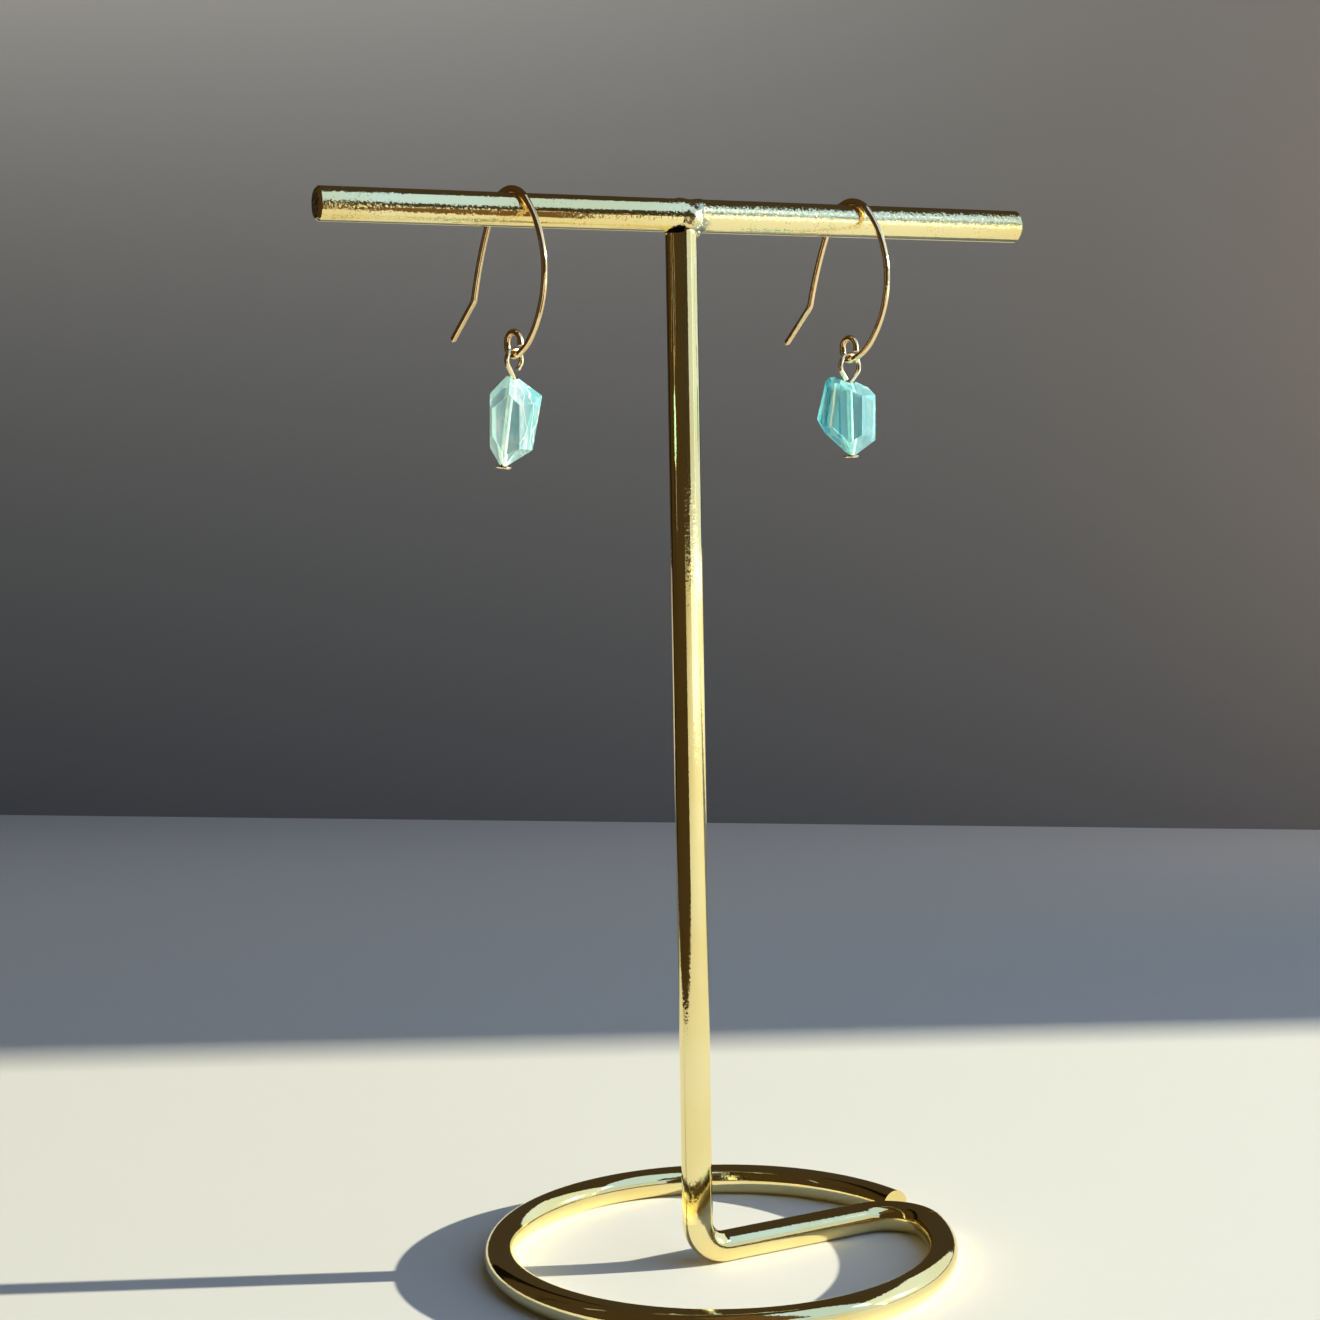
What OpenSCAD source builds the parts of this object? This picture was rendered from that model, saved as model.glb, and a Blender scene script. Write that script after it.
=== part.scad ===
// Pair of gemstone drop earrings hanging on a T-bar display stand.
//
// The stand is a round bar soldered across the top of one long wire. The
// wire comes straight down, turns out along the table, turns again and runs
// once round as an open ring, so it stands by itself. Each earring is an
// open hoop of gold wire hooked over the bar, with a cut stone on a head
// pin that hangs in the hoop's small end loop.
//
// Frame: X runs along the bar, Z is up, and the table is at Z = 0. The
// origin is under the middle of the bar, at the centre of the base ring.
// A wire's route is a list of [size, turn] steps: a straight length where
// the turn is 0, or an arc of that radius, to the left where it is positive.

/* [Stand] */
// Thickness of the stand's wire
wire_d = 4; // [3.6:0.1:4.1]
// Thickness of the bar across the top
bar_d = 4.2; // [4.15:0.05:4.4]
// Length of the bar
bar_len = 96.5; // [88:0.5:120]
// Height of the bar's axis above the table
bar_height = 135.5; // [120:0.5:160]
// Radius of the base ring, at the middle of its wire
ring_r = 29; // [27:0.5:34]
// Radius of the bend where the upright turns out along the table
foot_r = 4; // [3.8:0.1:6]
// Radius of the bend where the radial wire turns into the ring
elbow_r = 6; // [5:0.5:9]
// Direction of the radial wire, in degrees from the bar
radial_turn = 5; // [0:1:10]
// Where the ring's free end stops, in degrees round from the bar
ring_end = 9; // [9:1:30]

/* [Ear wires] */
// Thickness of the ear wires (20 gauge)
ear_d = 0.8; // [0.7:0.05:0.85]
// Inner play between a hook and the bar under it
hook_play = 0.06; // [0.05:0.01:0.1]
// Radius of the hook where it sits on the bar
hook_r = 3.6; // [3.4:0.1:4]
// Radius of the long front sweep
front_r = 13.6; // [13:0.1:14]
// Radius of the sweep that brings the wire in under the bar
under_r = 6.6; // [6:0.1:7]
// Radius of the left hook's small end loop, which carries its drop
left_loop_r = 1.2; // [1.15:0.05:1.3]
// Radius of the right hook's small end loop
right_loop_r = 1.1; // [1.1:0.05:1.2]
// Length of the straight tail that goes through the ear
tail_len = 6; // [5:0.5:9]
// Turn of the hooks away from square to the bar, in degrees
hook_turn = 22; // [16:1:26]
// Distance of the left hook from the middle of the bar
left_hook_x = 23.9; // [20:0.1:30]
// Distance of the right hook from the middle of the bar
right_hook_x = 23.1; // [20:0.1:30]

/* [Head pins] */
// Thickness of the head pins (22 gauge)
pin_d = 0.6; // [0.5:0.05:0.6]
// Radius of the left eye, at the middle of its wire
left_eye_r = 1.2; // [1.15:0.05:1.3]
// Radius of the right eye, at the middle of its wire
right_eye_r = 1.5; // [1.4:0.05:1.55]
// Diameter of the flat head under the stone
head_d = 2; // [1.6:0.1:2.2]
// Thickness of the flat head
head_t = 0.3; // [0.25:0.05:0.5]
// Play between a pin and the hole drilled through its stone
bore_play = 0.07; // [0.05:0.01:0.1]

/* [Stones] */
// Size of both stones, as a share of the pair's own size
stone_size = 1; // [0.9:0.02:1.04]

/* [Hidden] */
$fn = 48;

// Columns of a route
SIZE = 0;
TURN = 1;

// Columns of a hook's row: its place on the bar, how far it turns as it
// comes in under the bar, the radius of its end loop, and how far that rises
PLACE = 0;
UNDER = 1;
LOOP_R = 2;
RISE = 3;
LEFT_HOOK = [-left_hook_x, 31, left_loop_r, 0.55];
RIGHT_HOOK = [right_hook_x, 38, right_loop_r, 0.7];

// Columns of a drop's row: the hook it hangs on, its eye's radius, how the
// eye is turned from square to the loop, which way it is wound, how far its
// end stops from the neck, where the neck is, how the pin leans in the plane
// of the eye, and how far its foot swings back out of that plane
HOOK = 0;
EYE_R = 1;
EYE_TURN = 2;
WOUND = 3;
END_GAP = 4;
NECK_U = 5;
NECK_V = 6;
PIN_LEAN = 7;
PIN_BACK = 8;
// then how far the stone's middle is below the neck, above its lower seat
// and under its top, how far it is to the right of its hole and behind it,
// and how the stone is turned and leaned
TO_STONE = 9;
TO_HEAD = 10;
TO_TOP = 11;
ASIDE = 12;
BEHIND = 13;
FACE = 14;
LEAN = 15;
LEFT = [LEFT_HOOK, left_eye_r, 0, 1, 1.15, 0.07, -2.67, 6, 5.6,
        5.8, 5.05, 6.1, 0.12, 0.35, -20, 1.4];
RIGHT = [RIGHT_HOOK, right_eye_r, -12, -1, 0.75, -0.15, -3.1, -1.2, 0,
         4.75, 4.5, 5.9, 0.25, 0.17, -28, 0.8];

// Where the upright stands, how far it leans along the bar, and the middle
// of the ring beside it
upright = [-1.35, -0.7];
upright_lean = 0.1;
ring_mid = [2.2, 0];

// Soldered joint at the top of the upright, which is cut flat and butts the
// bar: how far it reaches in, and each lump's place and radius
joint_sink = 0.15;
BLOB_R = 3;
solder = [[0.9, -0.35, -0.35, 2.13], [2.3, -0.2, 0.15, 2.02], [-0.2, -0.15, 0.3, 1.92],
          [1.75, -0.3, -2.05, 0.75], [-1.65, 0.1, -2, 0.55], [0.2, 0.9, -1.85, 0.95]];
chamfer = 0.35;

// How far the thinner steps of a wire reach into the thicker ones beside
// them, and how much thicker those are all round
lap = 0.04;
proud = 0.01;

// The hook's turns, in degrees: up from the tail to the top, then down the
// front, in under the bar, and on round the end loop. The loop's end comes
// down to this far under its middle, close to the wire that it started from.
tip_len = 0.3;
kink_r = 1.5;
kink_turn = 30;
back_r = 47;
back_turn = 14;
over_back = 57;
over_front = 56;
front_turn = 76;
loop_end = 0.1;
hook_lean = 6;

// The eye hangs this far above the loop wire that carries it. Below it the
// pin bends in the widened mouth of its hole.
eye_play = 0.05;
neck_r = 0.6;
mouth_depth = 0.47;
mouth_half = 52;

back_route = [[tail_len - tip_len, 0], [kink_r, kink_turn], [back_r, -back_turn]];
over_turn = over_back + over_front;
function front_route(hook) = [
    [hook_r, -over_turn],
    [front_r, -front_turn],
    [under_r, -hook[UNDER]]];
function loop_route(hook) = [
    [hook[LOOP_R], over_front + front_turn + hook[UNDER] - 270],
    [hook[RISE], 0],
    [hook[LOOP_R], -180],
    [hook[RISE] + loop_end, 0]];

// Columns of a facet: the way it faces, from the front round to the right,
// how much it tips up, and how far it lies from the stone's middle
AZ = 0;
TIP = 1;
DIST = 2;

// Left stone: a long crystal with a table, bevelled sides and steep ends
left_facets = [
    [-12, 0, 2.28], [25, 0, 2.9], [57, -8, 3.05], [90, -10, 3.36],
    [128, -4, 3.05], [176, 0, 2.3], [-138, 0, 2.65], [-90, 0, 2.36], [-60, 0, 2.75],
    [-39, 30, 3.37], [25, 32, 3.7], [141, 40, 4.02], [-135, 35, 3.44],
    [55, -53, 4], [125, -53, 3.75], [-58, -26, 3.12], [-122, -26, 2.93],
    [-5, -48, 4.24], [175, -48, 4.2]];

// Right stone: a broad crystal with a table, two long left facets and a
// point low on the left
right_facets = [
    [2, 0, 2.35], [40, 0, 2.6], [90, 0, 3.03], [135, 0, 2.9], [180, 0, 2.3],
    [-140, 8, 3.62], [-90, 13, 4.54], [-62, 10, 3.65], [-30, 7, 3.16],
    [-16, 58, 5.3], [-164, 58, 5.1], [34, 49, 4.11], [145, 49, 3.89], [90, 41, 4.4],
    [-90, -28, 3.95], [-53, -41, 3.3], [-127, -41, 3.11],
    [37, -41, 3.25], [132, -44, 3.3], [-20, -45, 3.7], [175, -45, 3.6]];

// The pose [x, y, heading] after one step, and after a whole route
function arc_mid(p, s) = [p[0] - sign(s[TURN]) * s[SIZE] * sin(p[2]),
                          p[1] + sign(s[TURN]) * s[SIZE] * cos(p[2])];
function after_arc(p, s, mid) = [mid[0] + sign(s[TURN]) * s[SIZE] * sin(p[2] + s[TURN]),
                                 mid[1] - sign(s[TURN]) * s[SIZE] * cos(p[2] + s[TURN]),
                                 p[2] + s[TURN]];
function after_step(p, s) = s[TURN] == 0
    ? [p[0] + s[SIZE] * cos(p[2]), p[1] + s[SIZE] * sin(p[2]), p[2]]
    : after_arc(p, s, arc_mid(p, s));
function after_route(p, route, i = 0) = i == len(route)
    ? p
    : after_route(after_step(p, route[i]), route, i + 1);
function turned(p, a) = [p[0] * cos(a) - p[1] * sin(a), p[0] * sin(a) + p[1] * cos(a)];

// The radial wire's length and the elbow's turn, so that the elbow runs
// smoothly into the ring: its centre lies on the line to the ring's middle
elbow_side = turned(ring_mid - upright, -radial_turn);
radial_len = elbow_side[0]
    + sqrt(pow(ring_r - elbow_r, 2) - pow(elbow_side[1] + elbow_r, 2));
elbow_turn = 90 + atan2(elbow_side[1] + elbow_r, radial_len - elbow_side[0]);
ring_sweep = 360 - ring_end + radial_turn - (elbow_turn - 90);

// The hook's place: the middle of its top arc above the bar's axis, and the
// bottom of its end loop, where the drop hangs
hook_top = bar_d / 2 + hook_play + ear_d / 2;
over_start = after_route([0, 0, 0], back_route);
over_mid = arc_mid(over_start, [hook_r, -over_turn]);
top_heading = over_start[2] - over_back;
function loop_mid(hook) =
    arc_mid(after_route(over_start, front_route(hook)), loop_route(hook)[0]);
function hang(hook) = turned(loop_mid(hook) - over_mid, hook_lean - top_heading)
    + [0, hook_top - hook_r - hook[LOOP_R]];

// The eye's middle, and the pin's route, both in the plane of the eye
function eye_mid(drop) = ear_d / 2 + pin_d / 2 + eye_play - drop[EYE_R];
function neck_gap(drop) = norm([drop[NECK_U], drop[NECK_V] - eye_mid(drop)]);
function neck_way(drop) = atan2(drop[WOUND] * drop[NECK_U], eye_mid(drop) - drop[NECK_V]);
function eye_half(drop) = asin(drop[EYE_R] / neck_gap(drop));
function neck_turn(drop) = neck_way(drop) + eye_half(drop)
    + drop[WOUND] * drop[PIN_LEAN];
function side_len(drop) = sqrt(pow(neck_gap(drop), 2) - pow(drop[EYE_R], 2));
function neck_cut(drop) = neck_r * tan(neck_turn(drop) / 2);
function eye_yaw(drop) = hook_turn + drop[EYE_TURN];
function pin_len(drop) = (drop[TO_STONE] - drop[TO_TOP])
    + stone_size * (drop[TO_TOP] + drop[TO_HEAD]);
function pin_route(drop) = [
    [pin_len(drop) + bore_play - neck_cut(drop), 0],
    [neck_r, neck_turn(drop)],
    [side_len(drop) - neck_cut(drop), 0],
    [drop[EYE_R], -180 - 2 * eye_half(drop)],
    [side_len(drop) - drop[END_GAP], 0]];

// One step of a wire, which starts and ends early or late by these lengths
module wire_step(d, s, early, late) {
    way = sign(s[TURN]);
    if (way == 0) {
        translate([-early, 0, 0])
            rotate([0, 90, 0])
            cylinder(h = early + s[SIZE] + late, d = d);
    } else {
        degrees = way * 180 / PI / s[SIZE];
        translate([0, way * s[SIZE], 0])
            rotate(-90 * way - early * degrees)
            rotate_extrude(angle = s[TURN] + (early + late) * degrees)
            translate([s[SIZE], 0])
            circle(d = d);
    }
}

// One wire along a route, from the origin along X, in the XY plane. Every
// second step is a hair thicker, and the thinner ones reach into it.
module wire(d, route, early = 0, thin = true, i = 0) {
    last = i == len(route) - 1;
    wire_step(thin ? d : d + 2 * proud, route[i], early, thin && !last ? lap : 0);
    if (!last) {
        next = after_step([0, 0, 0], route[i]);
        translate([next[0], next[1], 0])
            rotate(next[2])
            wire(d, route, thin ? 0 : lap, !thin, i + 1);
    }
}

// A round rod along X with a small chamfer at each end
module rod(d, length) {
    rotate([0, 90, 0]) union() {
        translate([0, 0, -length / 2 + chamfer]) cylinder(h = length - 2 * chamfer, d = d);
        for (end = [0, 180])
            rotate([end, 0, 0])
                translate([0, 0, length / 2 - chamfer])
                cylinder(h = chamfer, d1 = d, d2 = d - 2 * chamfer);
    }
}

// Bar, solder, upright, foot, radial wire and ring: one soldered piece
module display_stand() {
    top = bar_height - bar_d / 2 + joint_sink;
    wire_z = wire_d / 2 + proud;
    foot_turn = 90 + upright_lean;
    above_foot = top - wire_z - foot_r * (1 + sin(upright_lean));
    lean_shift = above_foot * tan(upright_lean);
    color("darkgoldenrod") {
        translate([0, upright[1], bar_height]) rod(bar_d, bar_len);
        translate([upright[0] + lean_shift, upright[1], bar_height])
            for (blob = solder)
                translate([blob[0], blob[1], blob[2]])
                sphere(r = blob[BLOB_R]);
        translate([upright[0], upright[1], wire_z])
            rotate(radial_turn)
            translate([foot_r, 0, 0]) {
                rotate([90, 0, 0])
                    rotate(180)
                    wire(wire_d, [[foot_r, -foot_turn],
                                  [above_foot / cos(upright_lean), 0]], 0, false);
                wire(wire_d, [[radial_len - foot_r, 0],
                              [elbow_r, -elbow_turn],
                              [ring_r, -ring_sweep]], lap);
            }
    }
}

// Puts its children in the upright plane of a hook, with X to the front and
// Y up from the bar's axis
module at_hook(hook) {
    translate([hook[PLACE], upright[1], bar_height])
        rotate(hook_turn - 90)
        rotate([90, 0, 0])
        children();
}

// One ear wire: an open hoop with its end loop in front, and a straight tail
// with a tapered tip behind
module ear_wire(hook) {
    color("goldenrod")
        at_hook(hook)
        translate([0, hook_top - hook_r, 0])
        rotate(hook_lean - top_heading)
        translate([-over_mid[0], -over_mid[1], 0]) {
            wire(ear_d, concat(back_route, front_route(hook), loop_route(hook)));
            rotate([0, -90, 0]) cylinder(h = tip_len, d1 = ear_d, d2 = ear_d / 2);
        }
}

// Puts its children where a drop hangs, with X along the bar and Z up
module at_hang(hook) {
    place = hang(hook);
    translate([hook[PLACE] + place[0] * sin(hook_turn),
               upright[1] - place[0] * cos(hook_turn),
               bar_height + place[1]])
        children();
}

// Puts its children on a pin's axis, in the plane of the eye: the origin is
// the neck, X runs up the pin, and the eye's winding is to the left
module at_neck(drop) {
    rotate(eye_yaw(drop))
        rotate([90 + drop[PIN_BACK], 0, 0])
        translate([drop[NECK_U], drop[NECK_V], 0])
        rotate(90 - drop[PIN_LEAN])
        mirror([0, drop[WOUND] < 0 ? 1 : 0, 0])
        children();
}

// One head pin: a flat head, the stem through the stone, and the eye
module head_pin(drop) {
    color("gold")
        at_hang(drop[HOOK])
        at_neck(drop)
        translate([-pin_len(drop) - bore_play, 0, 0]) {
            wire(pin_d, pin_route(drop), head_t / 2);
            rotate([0, -90, 0]) {
                cylinder(h = head_t / 2, d = head_d);
                translate([0, 0, head_t / 2])
                    cylinder(h = head_t / 2, d1 = head_d, d2 = head_d - head_t);
            }
        }
}

// One cut stone: a block with a half-space cut away for each facet, drilled
// along its pin and cut square to the pin at both ends of the hole
module stone(drop, facets) {
    block = 40;
    mid = drop[TO_TOP] * (1 - stone_size) - drop[TO_STONE];
    in_eye = turned([mid, 0], 90 - drop[PIN_LEAN]) + [drop[NECK_U], drop[NECK_V]];
    flat = turned([in_eye[0], -in_eye[1] * sin(drop[PIN_BACK])], eye_yaw(drop));
    difference() {
        translate([flat[0], flat[1], in_eye[1] * cos(drop[PIN_BACK])])
            rotate(drop[FACE])
            translate([drop[ASIDE], drop[BEHIND], 0])
            rotate([0, drop[LEAN], 0])
            difference() {
                cube(block / 2, center = true);
                for (f = facets)
                    rotate([0, -f[TIP], f[AZ] - 90])
                        translate([f[DIST] * stone_size, -block / 2, -block / 2])
                        cube(block);
            }
        at_neck(drop) {
            translate([-block, 0, 0])
                rotate([0, 90, 0])
                cylinder(h = 2 * block, d = pin_d + 2 * bore_play);
            translate([-mouth_depth, 0, 0])
                rotate([0, 90, 0])
                cylinder(h = block, r1 = 0, r2 = block * tan(mouth_half));
            translate([mid + drop[TO_TOP] * stone_size, -block / 2, -block / 2]) cube(block);
            translate([mid - drop[TO_HEAD] * stone_size - block, -block / 2, -block / 2]) cube(block);
        }
    }
}

module left_ear_wire() { ear_wire(LEFT_HOOK); }
module right_ear_wire() { ear_wire(RIGHT_HOOK); }
module left_head_pin() { head_pin(LEFT); }
module right_head_pin() { head_pin(RIGHT); }
module left_stone() { color("paleturquoise") at_hang(LEFT[HOOK]) stone(LEFT, left_facets); }
module right_stone() { color("mediumturquoise") at_hang(RIGHT[HOOK]) stone(RIGHT, right_facets); }

display_stand();
left_ear_wire();
right_ear_wire();
left_head_pin();
right_head_pin();
left_stone();
right_stone();
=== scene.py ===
# %% [markdown]
# # A pair of gemstone drop earrings on a brass T-bar
#
# This file dresses a small display stand and the two earrings that hang on
# it. The solids come ready made and at their real size, in metres. What is
# left to do here is what the eye reads first: the polish and wear of gold
# plate, the dull patch of solder, the glow of cut stones, and plain light.
#
# Each step has a few words on what the real thing is and why it is made this
# way, and then a short cell of code.

# %% Load the solids
import math

import bpy
from mathutils import Matrix, Vector


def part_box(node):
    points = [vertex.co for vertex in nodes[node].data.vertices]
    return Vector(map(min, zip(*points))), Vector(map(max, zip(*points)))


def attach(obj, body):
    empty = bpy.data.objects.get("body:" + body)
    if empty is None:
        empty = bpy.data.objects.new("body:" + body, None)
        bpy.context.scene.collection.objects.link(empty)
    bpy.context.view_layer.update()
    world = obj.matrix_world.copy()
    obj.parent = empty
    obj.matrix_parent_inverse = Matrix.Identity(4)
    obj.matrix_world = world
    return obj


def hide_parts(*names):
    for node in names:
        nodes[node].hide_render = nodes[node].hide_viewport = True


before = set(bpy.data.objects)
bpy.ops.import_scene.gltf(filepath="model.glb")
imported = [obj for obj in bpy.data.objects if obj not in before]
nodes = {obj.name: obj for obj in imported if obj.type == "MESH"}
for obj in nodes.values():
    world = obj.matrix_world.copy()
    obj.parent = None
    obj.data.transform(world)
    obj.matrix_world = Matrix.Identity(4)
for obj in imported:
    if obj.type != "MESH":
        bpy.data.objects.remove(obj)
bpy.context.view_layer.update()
MM = 0.001
print("solids:", ", ".join(sorted(nodes)))

# %% [markdown]
# ## The camera
#
# The camera stands to the left of the stand, a little lower than the bar, and
# is slightly turned. A lens of about 61 mm gives a gentle perspective. The
# camera's three axes are worked out from those angles: right, up, and back,
# away from what it looks at.

# %% Set up the camera
YAW = math.radians(23.16)
PITCH = math.radians(4.14)
ROLL = math.radians(-1.11)
CAMERA_PLACE = Vector((-117.61, -263.60, 100.16)) * MM
LENS_MM = 61.43
SENSOR_MM = 36

look = Vector((
    math.sin(YAW) * math.cos(PITCH), math.cos(YAW) * math.cos(PITCH), -math.sin(PITCH)))
level_right = Vector((math.cos(YAW), -math.sin(YAW), 0))
level_up = level_right.cross(look)
right = math.cos(ROLL) * level_right + math.sin(ROLL) * level_up
up = -math.sin(ROLL) * level_right + math.cos(ROLL) * level_up

bpy.ops.object.camera_add()
camera = bpy.context.object
camera.name = "camera"
camera.data.lens = LENS_MM
camera.data.sensor_width = SENSOR_MM
camera.data.clip_start = 10 * MM
turn = Matrix((right, up, -look)).transposed()
camera.matrix_world = Matrix.Translation(CAMERA_PLACE) @ turn.to_4x4()
bpy.context.scene.camera = camera
print("camera looks along", [round(v, 3) for v in look])

# %% [markdown]
# ## Colours as they are
#
# Blender's usual view transform pales bright colours, which suits film-like
# scenes but robs gold and aqua of their strength. The standard transform
# shows a colour as it is mixed, so the metal can be bright and yellow at once.

# %% Choose the view transform
bpy.context.scene.view_settings.view_transform = "Standard"
print("view transform:", bpy.context.scene.view_settings.view_transform)

# %% [markdown]
# ## Floor
#
# Polished metal has no colour of its own to speak of: it shows what is
# around it. So the studio matters as much as the gold. A pale floor gives
# the round wires their bright lower halves. It is painted wholly matt, so
# that it has no glare from any side.

# %% Lay the floor
FLOOR_SIZE = (6, 6)


def matt_paint(name, colour, roughness):
    """A paint without any shine."""
    material = bpy.data.materials.new(name)
    material.use_nodes = True
    shader = material.node_tree.nodes["Principled BSDF"]
    shader.inputs["Base Color"].default_value = (*colour, 1)
    shader.inputs["Roughness"].default_value = roughness
    shader.inputs["Specular IOR Level"].default_value = 0.0
    return material


def flat_card(name, place, turn, size, paint):
    """A painted rectangle at a place, turned about X, Y and Z."""
    bpy.ops.object.select_all(action="DESELECT")
    bpy.ops.mesh.primitive_plane_add(size=1, location=place, rotation=turn)
    card = bpy.context.object
    card.name = name
    card.scale = (*size, 1)
    card.data.materials.append(paint)
    print(name, "measures", [round(side, 3) for side in size], "m")
    return card


pale_paint = matt_paint("pale_floor", (0.76, 0.76, 0.72), 0.5)
floor = flat_card("floor", (0, 0, 0), (0, 0, 0), FLOOR_SIZE, pale_paint)

# %% [markdown]
# ## Backdrop
#
# A plain grey wall stands behind, turned a little, and gives the stones
# something quiet to be seen against. Its right end comes forward and keeps
# the sun off the far floor. The metal doesn't show the wall, so its edges
# stay deep brown. A backdrop or a card is set up by its two ends, as it would
# be by hand, so the helper takes two points on the floor.

# %% Stand the wall
WALL_BEHIND = 0.40
WALL_TURN = math.radians(12)
WALL_LEFT, WALL_RIGHT, WALL_HEIGHT = 2.2, 1.225, 3


def upright_card(name, ends, foot, height, paint):
    """A painted card between two points, with its foot at a height above the floor."""
    near, far = Vector(ends[0]), Vector(ends[1])
    place = (*((near + far) / 2), foot + height / 2)
    along = far - near
    turn = (math.radians(90), 0, math.atan2(along.y, along.x))
    return flat_card(name, place, turn, (along.length, height), paint)


wall_foot = Vector((math.sin(YAW), math.cos(YAW))) * WALL_BEHIND
wall_run = Vector((math.cos(YAW + WALL_TURN), -math.sin(YAW + WALL_TURN)))
wall_ends = (wall_foot - WALL_LEFT * wall_run, wall_foot + WALL_RIGHT * wall_run)
grey_paint = matt_paint("grey_wall", (0.29, 0.28, 0.265), 0.8)
wall = upright_card("wall", wall_ends, 0, WALL_HEIGHT, grey_paint)
wall.visible_glossy = False

# %% [markdown]
# ## Dark cards
#
# A shiny wire in an all-bright room looks like white plastic. Dark cards
# stand round it, outside the picture, so that the metal has something dark
# to show: a deep band beside each bright one. One card stands on the left
# for the upright. A small one hangs in front for the left half of the bar,
# with a warm brown one lying level behind its foot, so that the dark band
# fades to brown below. It lies at the camera's height, so the upright
# doesn't show it. The cards are seen only in reflections.

# %% Stand the dark cards
CARD_LEFT = -0.145
CARD_FRONT = -0.16
CAMERA_LEVEL = 0.100
LEFT_CARD_ENDS = ((CARD_LEFT, -0.22), (CARD_LEFT, 0.40))
FRONT_CARD_ENDS = ((-0.012, CARD_FRONT), (0.050, CARD_FRONT))
LEVEL_CARD_PLACE = (0.0022, -0.099, CAMERA_LEVEL)
LEVEL_CARD_TURN = (0, 0, math.radians(19.3))
LEVEL_CARD_SIZE = (0.0455, 0.129)

dark_paint = matt_paint("dark_card", (0.018, 0.012, 0.006), 0.9)
olive_paint = matt_paint("olive_card", (0.15, 0.12, 0.07), 0.9)
brown_paint = matt_paint("brown_card", (0.16, 0.09, 0.04), 0.9)
left_card = upright_card("left_card", LEFT_CARD_ENDS, 0, 0.5, dark_paint)
front_card = upright_card("front_card", FRONT_CARD_ENDS, CAMERA_LEVEL, 0.072, olive_paint)
level_card = flat_card(
    "level_card", LEVEL_CARD_PLACE, LEVEL_CARD_TURN, LEVEL_CARD_SIZE, brown_paint)
for card in (left_card, front_card, level_card):
    card.visible_camera = False
    card.visible_diffuse = False
    card.visible_transmission = False
    card.visible_shadow = False

# %% [markdown]
# ## Light for the metal
#
# Each light is a soft panel, and each one draws its own band on the round
# wires. Its strength is given as a glow, which is how bright its face is,
# because that is what a mirror finish shows.
#
# The sky panel stands high in front and is pale blue, so it runs along the
# bar's upper half. The window panel fills the right side of the upright, and
# a low panel in front carries its light further round. A narrow panel on the
# far left draws one thin line on the upright's dark side. Those last two
# show only in reflections, so they leave the matt floor and wall as they are.
# The sun panel is small, far off, low and warm: it gives the sparkles and one
# clear shadow.

# %% Light the metal
BAR_MIDDLE = Vector((0, 0, 0.13))
STAND_MIDDLE = Vector((0, 0, 0.07))
SUN_WAY = Vector((0.898, -0.340, 0.276))
SUN_FAR = 6
SUN_PLACE = STAND_MIDDLE + SUN_FAR * SUN_WAY
SKY_BLUE = (0.36, 0.56, 0.92)
DAY_BLUE = (0.70, 0.86, 1.0)
COOL = (0.78, 0.90, 1.0)
LOW_SUN = (1.0, 0.95, 0.76)


def softbox(name, place, aim, size, glow, colour):
    """A soft panel aimed at a point. Its glow is how bright its face is."""
    bpy.ops.object.light_add(type="AREA", location=place)
    panel = bpy.context.object
    panel.name = name
    panel.data.shape = "RECTANGLE"
    panel.data.size, panel.data.size_y = size
    panel.data.energy = glow * math.pi * size[0] * size[1]
    panel.data.color = colour
    panel.visible_camera = False
    panel.rotation_euler = (Vector(aim) - Vector(place)).to_track_quat("-Z", "Y").to_euler()
    print(name, "gives", round(panel.data.energy, 3), "W")
    return panel


softbox("sky_panel", (0.30, -0.56, 0.77), BAR_MIDDLE, (0.80, 1.05), 1.42, SKY_BLUE)
softbox("window_panel", (0.90, -0.05, 0.42), BAR_MIDDLE, (1.30, 0.80), 1.05, DAY_BLUE)
line_panel = softbox(
    "line_panel", (-0.140, 0.005, 0.125), BAR_MIDDLE, (0.008, 0.06), 0.40, COOL)
front_panel = softbox(
    "front_panel", (0.35, -0.58, 0.13), BAR_MIDDLE, (0.62, 0.26), 0.80, COOL)
softbox("sun_panel", SUN_PLACE, STAND_MIDDLE, (0.075, 0.075), 60000, LOW_SUN)
for panel in (line_panel, front_panel):
    panel.visible_diffuse = False

# %% [markdown]
# ## Light for the wall, and the room
#
# The wall has two lights of its own, plain above and warm on the right. Their
# light is kept to a cone, and the metal doesn't show them. The rest of the
# room is dark and brownish, which leaves the dark bands between the bright
# ones.

# %% Light the wall and the room
WALL_CONE = math.radians(100)
PLAIN_WHITE = (1.0, 0.98, 0.95)
WARM_GLOW = (1.0, 0.68, 0.36)
ROOM_BROWN = (0.050, 0.038, 0.024)

wall_light = softbox(
    "wall_panel", (-0.13, 0.35, 0.45), (-0.02, 0.50, 0.40), (0.60, 0.20), 2.3, PLAIN_WHITE)
wall_glow = softbox(
    "wall_glow", (0.42, 0.10, 0.16), (0.29, 0.27, 0.18), (0.10, 0.30), 1.5, WARM_GLOW)
for panel in (wall_light, wall_glow):
    panel.visible_glossy = False
    panel.data.spread = WALL_CONE

world = bpy.data.worlds.new("room")
bpy.context.scene.world = world
world.use_nodes = True
world.node_tree.nodes["Background"].inputs["Color"].default_value = (*ROOM_BROWN, 1)
world.node_tree.nodes["Background"].inputs["Strength"].default_value = 1.0
print("room colour:", ROOM_BROWN)

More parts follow.
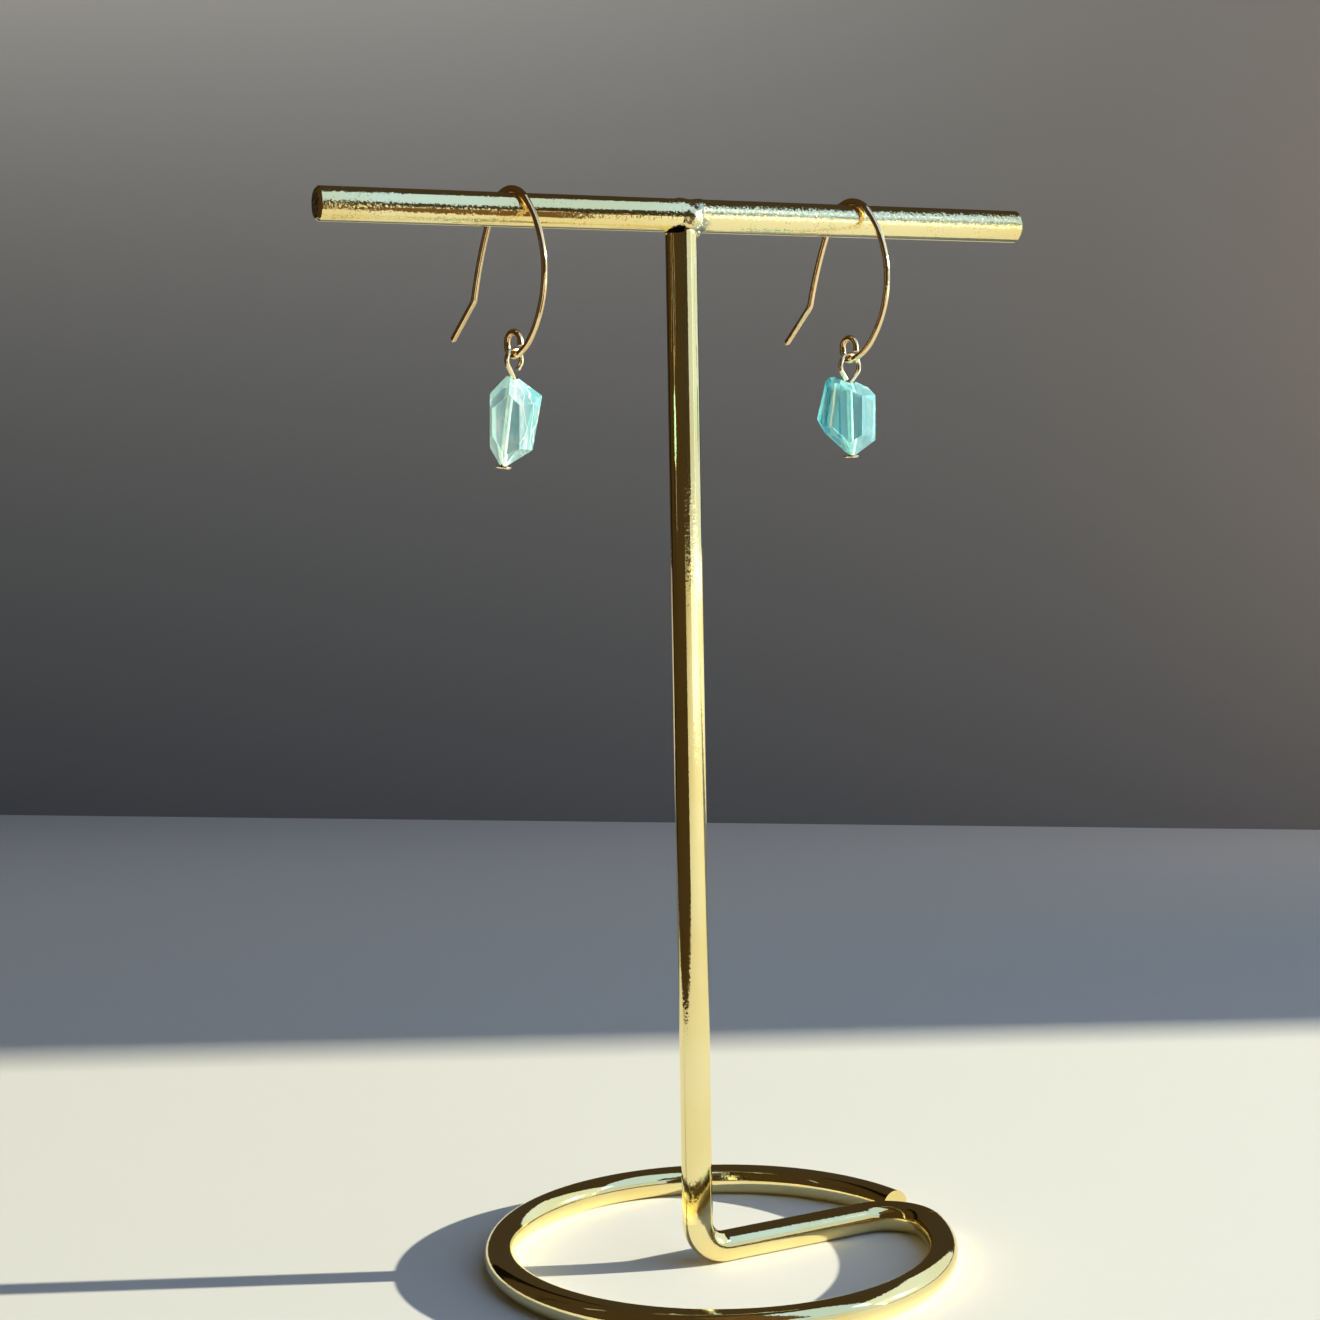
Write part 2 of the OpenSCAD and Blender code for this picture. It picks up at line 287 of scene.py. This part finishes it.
# %% [markdown]
# ## The metal pieces
#
# The solids arrive as loose triangles, which show as flats in a mirror
# finish. A copy has its doubles merged, so that the shading can run
# smoothly along the wires and still break at true edges, such as the cut
# face of the bar's end. The copy then stands in for the solid.
#
# The stand and both ear wires stay still. Each head pin swings with its
# stone, so it rides on the same body as the stone.

# %% Copy the metal pieces
WIRE_EDGE_ANGLE = math.radians(32)
DOUBLES = 0.001 * MM


def smooth_copy(node, name, body, angle):
    """A merged copy of a solid, smooth apart from edges sharper than angle."""
    piece = bpy.data.objects.new(name, nodes[node].data.copy())
    bpy.context.scene.collection.objects.link(piece)
    piece.data.materials.clear()
    bpy.ops.object.select_all(action="DESELECT")
    piece.select_set(True)
    bpy.context.view_layer.objects.active = piece
    bpy.ops.object.mode_set(mode="EDIT")
    bpy.ops.mesh.customdata_custom_splitnormals_clear()
    bpy.ops.mesh.select_all(action="SELECT")
    bpy.ops.mesh.remove_doubles(threshold=DOUBLES)
    bpy.ops.object.mode_set(mode="OBJECT")
    bpy.ops.object.shade_smooth_by_angle(angle=angle)
    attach(piece, body)
    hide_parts(node)
    print(name, len(piece.data.polygons), "faces")
    return piece


stand = smooth_copy("display_stand", "plated_stand", "stand", WIRE_EDGE_ANGLE)
left_hoop = smooth_copy("left_ear_wire", "left_gold_hoop", "stand", WIRE_EDGE_ANGLE)
right_hoop = smooth_copy("right_ear_wire", "right_gold_hoop", "stand", WIRE_EDGE_ANGLE)
left_pin = smooth_copy("left_head_pin", "left_gold_pin", "left_drop", WIRE_EDGE_ANGLE)
right_pin = smooth_copy("right_head_pin", "right_gold_pin", "right_drop", WIRE_EDGE_ANGLE)

# %% [markdown]
# ## Sums in a material
#
# A material is a small net of nodes. Each helper adds one node and hands
# back the socket with its result, so a net reads like a line of sums. What
# goes in is either a plain number or the socket of another node.

# %% Helpers for sums
def feed(tree, socket, value):
    """Links a socket to another one, or sets its value."""
    if isinstance(value, bpy.types.NodeSocket):
        tree.links.new(value, socket)
    else:
        socket.default_value = value


def math_node(tree, operation, *values):
    """A Math node."""
    node = tree.nodes.new("ShaderNodeMath")
    node.operation = operation
    for socket, value in zip(node.inputs, values):
        feed(tree, socket, value)
    return node.outputs[0]


def times(tree, value, factor, plus=0.0):
    """A value times a factor, plus one more value."""
    return math_node(tree, "MULTIPLY_ADD", value, factor, plus)


def rest_of(tree, mask):
    """The other side of a mask."""
    return math_node(tree, "SUBTRACT", 1.0, mask)


print("ready for sums: feed, math_node, times, rest_of")

# %% [markdown]
# ## Directions in a material
#
# A place, a slant and a surface's normal each have three numbers. One helper
# does a sum with them, and one makes such a vector longer or shorter.

# %% Helpers for directions
def vector_node(tree, operation, *values, result="Vector"):
    """A Vector Math node."""
    node = tree.nodes.new("ShaderNodeVectorMath")
    node.operation = operation
    for socket, value in zip(node.inputs, values):
        feed(tree, socket, value)
    return node.outputs[result]


def scaled(tree, vector, factor):
    """A vector made longer or shorter."""
    node = tree.nodes.new("ShaderNodeVectorMath")
    node.operation = "SCALE"
    feed(tree, node.inputs["Vector"], vector)
    feed(tree, node.inputs["Scale"], factor)
    return node.outputs["Vector"]


print("ready for directions: vector_node, scaled")

# %% [markdown]
# ## Masks and patterns in a material
#
# One helper squeezes a value into a steep mask. Two make noise, even or drawn
# out along one way, and one makes cells of random size. The scale of a
# pattern is in waves to the metre, so 2000 is one wave every half millimetre.

# %% Helpers for masks and patterns
def step(tree, value, low, high):
    """Turns a value into a mask: 0 under low, 1 over high."""
    node = tree.nodes.new("ShaderNodeMapRange")
    node.interpolation_type = "SMOOTHSTEP"
    for name, number in (("Value", value), ("From Min", low), ("From Max", high)):
        feed(tree, node.inputs[name], number)
    return node.outputs["Result"]


def noise(tree, vector, scale, detail=2.0):
    """Noise on the piece's own coordinates, about 0 to 1."""
    node = tree.nodes.new("ShaderNodeTexNoise")
    for name, value in (("Vector", vector), ("Scale", scale), ("Detail", detail)):
        feed(tree, node.inputs[name], value)
    return node.outputs["Fac"]


def drawn_noise(tree, vector, scale, stretch, turn=(0, 0, 0)):
    """Noise that is drawn out along the axes where stretch is small."""
    node = tree.nodes.new("ShaderNodeMapping")
    for name, value in (("Vector", vector), ("Scale", stretch), ("Rotation", turn)):
        feed(tree, node.inputs[name], value)
    return noise(tree, node.outputs["Vector"], scale)


def cells(tree, vector, scale, result):
    """Cells of random size, as a distance from their middles or as colours."""
    node = tree.nodes.new("ShaderNodeTexVoronoi")
    feed(tree, node.inputs["Vector"], vector)
    feed(tree, node.inputs["Scale"], scale)
    return node.outputs[result]


print("ready for patterns: step, noise, drawn_noise, cells")

# %% [markdown]
# ## Wear of gold plate, as a shared group
#
# Thin plate on drawn wire is never perfect. It has fine pits where the
# brass was rough, short hair scratches, and faint clouds where the plate is
# thicker or has been touched. Here and there a grain about a fifth of a
# millimetre wide lies at its own slant, and flashes when it meets the sun.
# All the metal pieces have the same wear in different amounts, so it is one
# node group with named inputs: it gives a mask of pits, a mask of clouds, a
# height for the bump, and the slant of the grains.

# %% Open the wear group
WEAR_INPUTS = {"Pit Scale": 2200, "Pit Amount": 0.5, "Grain Scale": 2600, "Slant Amount": 0.3}

wear_group = bpy.data.node_groups.new("plate_wear", "ShaderNodeTree")
interface = wear_group.interface
interface.new_socket("Vector", in_out="INPUT", socket_type="NodeSocketVector")
for name, value in WEAR_INPUTS.items():
    socket = interface.new_socket(name, in_out="INPUT", socket_type="NodeSocketFloat")
    socket.default_value = value
for name in ("Pits", "Clouds", "Height"):
    interface.new_socket(name, in_out="OUTPUT", socket_type="NodeSocketFloat")
interface.new_socket("Slant", in_out="OUTPUT", socket_type="NodeSocketVector")
print("wear group:", [socket.name for socket in interface.items_tree])

# %% [markdown]
# ## Inside the wear group
#
# Pits are the middles of small cells, and only where a coarser noise allows
# them. The height is the grain, with the pits and hair scratches cut into
# it. A slant is the random colour of one more set of cells, read as a
# direction, and it is stronger in rough places than in smooth ones.

# %% Fill the wear group
PIT_PATCHES, ROUGH_PATCHES, CLOUD_PATCHES = 260, 120, 55
HAIR_SCALE, HAIR_STRETCH, HAIR_TURN = 900, (1, 9, 1), (0.5, 0.7, 0.4)
FLECK_SCALE = 4600
PIT_DEPTH, HAIR_DEPTH = -0.6, -0.10
MIDDLE_GREY = (0.5, 0.5, 0.5)


def fill_wear_group(tree):
    """Works out the wear from the group's inputs."""
    start = tree.nodes.new("NodeGroupInput").outputs
    end = tree.nodes.new("NodeGroupOutput").inputs
    place = start["Vector"]

    apart = cells(tree, place, start["Pit Scale"], "Distance")
    near = rest_of(tree, step(tree, apart, 0.12, 0.34))
    where = step(tree, noise(tree, place, PIT_PATCHES, 3), 0.48, 0.68)
    pits = times(tree, times(tree, near, where), start["Pit Amount"])

    grain = noise(tree, place, start["Grain Scale"], 2)
    rough_places = step(tree, noise(tree, place, ROUGH_PATCHES, 2), 0.30, 0.60)
    peel = times(tree, grain, math_node(tree, "ADD", rough_places, 0.45))
    hairs = step(tree, drawn_noise(tree, place, HAIR_SCALE, HAIR_STRETCH, HAIR_TURN), 0.66, 0.78)
    scratched = times(tree, hairs, HAIR_DEPTH, peel)

    flecks = cells(tree, place, FLECK_SCALE, "Color")
    ways = vector_node(tree, "SUBTRACT", flecks, MIDDLE_GREY)
    amount = times(tree, times(tree, rough_places, 0.8, 0.2), start["Slant Amount"])

    feed(tree, end["Pits"], pits)
    feed(tree, end["Clouds"], noise(tree, place, CLOUD_PATCHES, 3))
    feed(tree, end["Height"], times(tree, pits, PIT_DEPTH, scratched))
    feed(tree, end["Slant"], scaled(tree, ways, amount))


fill_wear_group(wear_group)
print("wear group has", len(wear_group.nodes), "nodes")

# %% [markdown]
# ## Gold
#
# Gold's colour is in its reflections, so it is a metal with a warm base
# colour and low roughness. The pits are darker and duller, and the clouds
# shift the colour a little between yellow and a redder brown. The work has
# two halves. This first one gathers the sockets that make up a worn plate,
# so that a piece with a place of its own, such as a patch of solder, can
# change them before they are used.

# %% Gather a worn gold
def mix_colour(tree, mask, under, over):
    """Lays one colour over another where the mask is 1."""
    node = tree.nodes.new("ShaderNodeMix")
    node.data_type = "RGBA"
    feed(tree, node.inputs["Factor"], mask)
    for socket, colour in ((node.inputs[6], under), (node.inputs[7], over)):
        feed(tree, socket, (*colour, 1) if isinstance(colour, tuple) else colour)
    return node.outputs[2]


def worn_gold(name, pale, deep, roughness, wear_inputs):
    """A new metal, with the sockets that its finish is made of."""
    material = bpy.data.materials.new(name)
    material.use_nodes = True
    tree = material.node_tree
    place = tree.nodes.new("ShaderNodeTexCoord").outputs["Object"]
    wear = tree.nodes.new("ShaderNodeGroup")
    wear.node_tree = wear_group
    feed(tree, wear.inputs["Vector"], place)
    for socket, value in wear_inputs.items():
        feed(tree, wear.inputs[socket], value)

    pits, clouds = wear.outputs["Pits"], wear.outputs["Clouds"]
    body = mix_colour(tree, step(tree, clouds, 0.35, 0.68), pale, deep)
    dark = tuple(0.45 * c for c in deep)
    return {
        "material": material,
        "tree": tree,
        "place": place,
        "wear": wear,
        "colour": mix_colour(tree, pits, body, dark),
        "dull": times(tree, pits, 0.3, roughness),
        "height": wear.outputs["Height"],
        "slant": wear.outputs["Slant"],
    }


print("ready for gold: worn_gold")

# %% [markdown]
# ## From sockets to metal
#
# The second half joins the sockets to the shader. The height becomes a bump,
# which leans the surface's normal without moving the surface. The slant is
# then added, and the sum is brought back to the length of one.

# %% Finish a worn gold
def bump(tree, height, distance):
    """A Bump node at full strength; distance is in metres."""
    node = tree.nodes.new("ShaderNodeBump")
    for name, value in (("Strength", 1.0), ("Distance", distance), ("Height", height)):
        feed(tree, node.inputs[name], value)
    return node.outputs["Normal"]


def finish_gold(gold, relief):
    """Joins the sockets of a worn gold to its shader. Relief is in metres."""
    tree = gold["tree"]
    shader = tree.nodes["Principled BSDF"]
    shader.inputs["Metallic"].default_value = 1.0
    tipped = vector_node(tree, "ADD", bump(tree, gold["height"], relief), gold["slant"])
    feed(tree, shader.inputs["Base Color"], gold["colour"])
    feed(tree, shader.inputs["Roughness"], gold["dull"])
    feed(tree, shader.inputs["Normal"], vector_node(tree, "NORMALIZE", tipped))
    print("finished", gold["material"].name)


print("ready for gold: finish_gold")

# %% [markdown]
# ## Gold wire
#
# The ear wires and head pins are drawn and polished, so their wear is fine
# and low. The ear wires are a warm gold, and the head pins are paler.

# %% Finish the ear wires and the pins
FINE_WEAR = {"Pit Scale": 5200, "Pit Amount": 0.2, "Grain Scale": 5200, "Slant Amount": 0.08}
FINE_RELIEF = 0.002 * MM

hoop_gold = worn_gold("warm_gold_wire", (1.0, 0.77, 0.46), (0.94, 0.66, 0.34), 0.08, FINE_WEAR)
pin_gold = worn_gold("pale_gold_wire", (1.0, 0.87, 0.62), (0.96, 0.78, 0.48), 0.10, FINE_WEAR)
for gold in (hoop_gold, pin_gold):
    finish_gold(gold, FINE_RELIEF)
for hoop in (left_hoop, right_hoop):
    hoop.data.materials.append(hoop_gold["material"])
for pin in (left_pin, right_pin):
    pin.data.materials.append(pin_gold["material"])

# %% [markdown]
# ## The stand's plate
#
# The stand is a pale greenish yellow brass plate. The bar is grainy, and the
# long wire was polished calmer, so a mask parts the two: it is 1 on the bar
# and 0 below it. The calm wire has fainter pits, less grain and a finer
# polish. Faint lines run along both, left by the die that the wire was drawn
# through, so they are noise drawn out along the bar or along the upright.

# %% Plate the bar and the long wire
PLATE_WEAR = {"Pit Scale": 2400, "Grain Scale": 2600, "Slant Amount": 0.14}
BAR_UNDERSIDE = 133.6 * MM
BAR_EDGE = 0.1 * MM
CALM = 0.15
LINE_SCALE, LINE_DEPTH = 4200, 0.22


def mix_value(tree, mask, under, over):
    """Takes one value in place of another where the mask is 1."""
    node = tree.nodes.new("ShaderNodeMix")
    for name, value in (("Factor", mask), ("A", under), ("B", over)):
        feed(tree, node.inputs[name], value)
    return node.outputs["Result"]


plate = worn_gold("pale_brass_plate", (1.0, 0.87, 0.46), (0.95, 0.77, 0.34), 0.09, PLATE_WEAR)
tree, place = plate["tree"], plate["place"]
axes = tree.nodes.new("ShaderNodeSeparateXYZ")
feed(tree, axes.inputs["Vector"], place)
on_bar = step(tree, axes.outputs["Z"], BAR_UNDERSIDE, BAR_UNDERSIDE + BAR_EDGE)
feed(tree, plate["wear"].inputs["Pit Amount"], times(tree, on_bar, 0.7, 0.1))

upright_lines = drawn_noise(tree, place, LINE_SCALE, (1, 1, 0.02))
bar_lines = drawn_noise(tree, place, LINE_SCALE, (0.02, 1, 1))
lines = mix_value(tree, on_bar, upright_lines, bar_lines)
lined = times(tree, lines, LINE_DEPTH, plate["height"])
grainy = times(tree, on_bar, 1 - CALM, CALM)
plate["height"] = times(tree, lined, grainy)
plate["slant"] = scaled(tree, plate["slant"], grainy)
plate["dull"] = times(tree, plate["dull"], times(tree, on_bar, 0.35, 0.65))
print("the calm wire keeps", CALM, "of the bar's grain")

# %% [markdown]
# ## The solder
#
# Where the upright meets the bar, silver solder has run over the bar. It is
# paler, greyer and duller than the plate, with soft lumps. Its mask is the
# distance from the joint, roughened by noise so that its edge wanders.

# %% Lay the solder
JOINT = Vector((0.4, -0.9, 135.0)) * MM
SOLDER_REACH = 2.5 * MM
SOLDER_EDGE = 0.9 * MM
SOLDER_WANDER = 1.6 * MM
SOLDER_PALE, SOLDER_DEEP = (0.42, 0.47, 0.41), (0.27, 0.30, 0.23)
LUMP_HEIGHT = 4.0

apart = vector_node(tree, "DISTANCE", place, JOINT, result="Value")
ragged = times(tree, noise(tree, place, 700, 3), SOLDER_WANDER, apart)
solder = rest_of(tree, step(tree, ragged, SOLDER_REACH, SOLDER_REACH + SOLDER_EDGE))
mottle = step(tree, noise(tree, place, 1500, 3), 0.42, 0.62)
silver = mix_colour(tree, mottle, SOLDER_PALE, SOLDER_DEEP)
plate["colour"] = mix_colour(tree, solder, plate["colour"], silver)
plate["dull"] = times(tree, solder, 0.32, plate["dull"])
plate["height"] = times(tree, times(tree, mottle, solder), LUMP_HEIGHT, plate["height"])
print("solder reaches", round(SOLDER_REACH / MM, 1), "mm from the joint")

# %% [markdown]
# ## Painted shade in the slit
#
# On the left the solder stops short, and the slit between the bar and the
# upright's top lies in shade. That shade is painted into the plate's colour
# as a near-black painted shadow. It is a flat ellipsoid of colour:
# space is squashed until the ellipsoid is a ball, and the mask is the
# distance from its middle. With it, the plate is complete.

# %% Paint the shade in the slit and finish the stand
SLIT = Vector((-2.2, -1.3, 133.45)) * MM
SLIT_SIZE = Vector((1.25, 2.2, 0.38)) * MM
SLIT_SHADE_COLOUR = (0.035, 0.020, 0.010)
PLATE_RELIEF = 0.025 * MM

squash = tree.nodes.new("ShaderNodeMapping")
squash.vector_type = "TEXTURE"
for name, value in (("Vector", place), ("Location", SLIT), ("Scale", SLIT_SIZE)):
    feed(tree, squash.inputs[name], value)
reach = vector_node(tree, "LENGTH", squash.outputs["Vector"], result="Value")
# Painted shade: the slit between the bar and the upright's top is darkened in the plate's
# colour.
slit_shade_mask = rest_of(tree, step(tree, reach, 0.75, 1.0))
plate["colour"] = mix_colour(tree, slit_shade_mask, plate["colour"], SLIT_SHADE_COLOUR)
finish_gold(plate, PLATE_RELIEF)
stand.data.materials.append(plate["material"])

# %% [markdown]
# ## Clear stone
#
# A path tracer finds few of the light paths that bend through a stone, so
# the inside would look dark. For shadow rays only, the stone is therefore a
# plain tinted window. The light then reaches the pin and the drilled hole.

# %% A start for any clear stone
STONE_IOR = 1.54
WINDOW_SHARE = 0.8
AQUA_WINDOW = (0.70, 0.94, 0.95)
PALE_WINDOW = (0.9, 1.0, 0.98)


def clear_stone(name, clear, window_tint):
    """A new material that bends light, with its tree, shader and coordinates."""
    material = bpy.data.materials.new(name)
    material.use_nodes = True
    tree = material.node_tree
    shader = tree.nodes["Principled BSDF"]
    shader.inputs["Transmission Weight"].default_value = clear
    shader.inputs["IOR"].default_value = STONE_IOR

    window = tree.nodes.new("ShaderNodeBsdfTransparent")
    window.inputs["Color"].default_value = (*window_tint, 1)
    shadow = tree.nodes.new("ShaderNodeLightPath").outputs["Is Shadow Ray"]
    blend = tree.nodes.new("ShaderNodeMixShader")
    feed(tree, blend.inputs[0], times(tree, shadow, WINDOW_SHARE))
    feed(tree, blend.inputs[1], shader.outputs[0])
    feed(tree, blend.inputs[2], window.outputs[0])
    feed(tree, tree.nodes["Material Output"].inputs["Surface"], blend.outputs[0])
    place = tree.nodes.new("ShaderNodeTexCoord").outputs["Object"]
    return material, tree, shader, place


print("index of refraction:", STONE_IOR)

# %% [markdown]
# ## Facet edges and drilled holes
#
# A rough face of a stone scatters light and looks paler than a polished one.
# The edges of the facets are a little worn, and the drilled hole is left
# rough, so both are the same sort of surface and one maker serves for both.

# %% Make the rough finishes
def rough_stone(name, clear, colour, other, roughness, scale):
    """The finish of a facet edge or a drilled hole: paler and duller."""
    material, tree, shader, place = clear_stone(name, clear, PALE_WINDOW)
    grain = noise(tree, place, scale, 3)
    mottled = mix_colour(tree, step(tree, grain, 0.4, 0.6), colour, other)
    feed(tree, shader.inputs["Base Color"], mottled)
    feed(tree, shader.inputs["Roughness"], times(tree, grain, 0.15, roughness))
    return material


edge_finish = rough_stone("facet_edge", 0.4, (0.62, 0.88, 0.86), (0.50, 0.80, 0.82), 0.1, 900)
hole_finish = rough_stone("ground_hole", 0.1, (1.0, 0.97, 0.80), (0.90, 0.94, 0.82), 0.5, 2500)
print("rough finishes:", edge_finish.name, "and", hole_finish.name)

# %% [markdown]
# ## Crystal
#
# A clean stone lets nearly all light through, but these have fine veils
# inside, which the sun lights up, so they glow in their own colour. That is
# done with a transmission below one: part of the light is bent through, and
# part comes back from the body. The veils are noise drawn out along the
# stone, and the fine white cracks lie where another noise passes through its
# middle value. The colour also drifts from one side to the other, as it does
# in natural crystal.

# %% A maker of crystal
CRACK_WHITE = (1.0, 1.0, 0.97)
DRIFT_WANDER, DRIFT_SHIFT = 2.5 * MM, 1.2 * MM
STONE_RELIEF = 0.003 * MM


def crystal(name, clear, colours, veils, cracks, sides):
    """Tinted stone. Its colours go from left to right, and its veils fade that way."""
    material, tree, shader, place = clear_stone(name, clear, AQUA_WINDOW)
    axes = tree.nodes.new("ShaderNodeSeparateXYZ")
    feed(tree, axes.inputs["Vector"], place)
    across = times(tree, noise(tree, place, 420, 2), DRIFT_WANDER, axes.outputs["X"])
    drift = step(tree, across, sides[0] + DRIFT_SHIFT, sides[1] + DRIFT_SHIFT)
    tint = mix_colour(tree, drift, *colours)

    clouds = drawn_noise(tree, place, 900, veils["stretch"], (0.1, 0.12, 0.3))
    left_over = times(tree, drift, -veils["fade"], 1.0)
    veil = times(tree, step(tree, clouds, *veils["edge"]), left_over)
    ridges = drawn_noise(tree, place, 520, (1, 1, 0.4), (0.6, 0.2, 0.5))
    away = math_node(tree, "ABSOLUTE", math_node(tree, "SUBTRACT", ridges, 0.5))
    crack = times(tree, rest_of(tree, step(tree, away, 0.010, 0.030)), cracks)

    veiled = mix_colour(tree, veil, tint, veils["colour"])
    feed(tree, shader.inputs["Base Color"], mix_colour(tree, crack, veiled, CRACK_WHITE))
    feed(tree, shader.inputs["Roughness"], times(tree, veil, 0.15, 0.02))
    feed(tree, shader.inputs["Normal"], bump(tree, noise(tree, place, 600, 2), STONE_RELIEF))
    return material


print("crystal has a relief of", round(STONE_RELIEF / MM, 3), "mm")

# %% [markdown]
# ## The two stones
#
# The left stone is frosty, with white veils and cracks, and turns to a
# deeper aqua on the right. The right stone has teal stripes on its left,
# which fade out towards its plain right side. The sides are read from the
# solids, so the colours stay in place when a stone changes its size.

# %% Make both crystals
WHITE_VEILS = {
    "colour": (1.0, 1.0, 0.97), "stretch": (1, 1, 0.22), "edge": (0.52, 0.64), "fade": 0.85}
TEAL_STRIPES = {
    "colour": (0.05, 0.52, 0.72), "stretch": (1.6, 1, 0.06), "edge": (0.50, 0.60), "fade": 0.9}
FROSTY_COLOURS = ((0.84, 1.0, 0.99), (0.14, 0.50, 0.56))
DEEP_COLOURS = ((0.50, 0.98, 1.0), (0.40, 0.69, 0.75))

left_sides = [corner.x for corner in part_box("left_stone")]
right_sides = [corner.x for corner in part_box("right_stone")]
frosty = crystal("frosty_aqua_crystal", 0.56, FROSTY_COLOURS, WHITE_VEILS, 1.0, left_sides)
deep = crystal("deep_aqua_crystal", 0.62, DEEP_COLOURS, TEAL_STRIPES, 0.2, right_sides)
print("left stone from", [round(x / MM, 2) for x in left_sides], "mm in X")
print("right stone from", [round(x / MM, 2) for x in right_sides], "mm in X")

# %% [markdown]
# ## Cutting the stones' copies
#
# Both stones are cut like small slabs of crystal. A copy of each solid gets
# a fine bevel, because real facet edges are worn a little round and catch
# the light as pale lines. The bevel's faces take the second material.
# The hole for the pin is drilled and left rough, so it shows as a milky tube
# inside the clear stone: its faces take the third. A face belongs to the
# hole when its plane passes close to the stone's middle, which the hole runs
# through.

# %% Cut both stones
BODY, EDGE, HOLE = 0, 1, 2
FACET_EDGE_ANGLE = math.radians(10)
HOLE_NEAR = 1.4 * MM
BEVEL_WIDTH = 0.12 * MM
BEVEL_ANGLE = math.radians(14)


def cut_stone(node, name, body, materials):
    """A merged copy of a stone, with fine bevels and its parts told apart."""
    stone = smooth_copy(node, name, body, FACET_EDGE_ANGLE)
    for material in materials:
        stone.data.materials.append(material)
    middle = (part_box(node)[0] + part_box(node)[1]) / 2
    for face in stone.data.polygons:
        off_middle = face.normal.dot(face.center - middle)
        face.material_index = HOLE if off_middle < HOLE_NEAR else BODY
    soften = stone.modifiers.new("facet_edges", "BEVEL")
    soften.width = BEVEL_WIDTH
    soften.segments = 2
    soften.limit_method = "ANGLE"
    soften.angle_limit = BEVEL_ANGLE
    soften.material = EDGE
    bpy.ops.object.modifier_apply(modifier=soften.name)
    drilled = sum(face.material_index == HOLE for face in stone.data.polygons)
    print(name, len(stone.data.polygons), "faces,", drilled, "in the hole")
    return stone


left_finishes = (frosty, edge_finish, hole_finish)
right_finishes = (deep, edge_finish, hole_finish)
left_gem = cut_stone("left_stone", "left_cut_stone", "left_drop", left_finishes)
right_gem = cut_stone("right_stone", "right_cut_stone", "right_drop", right_finishes)
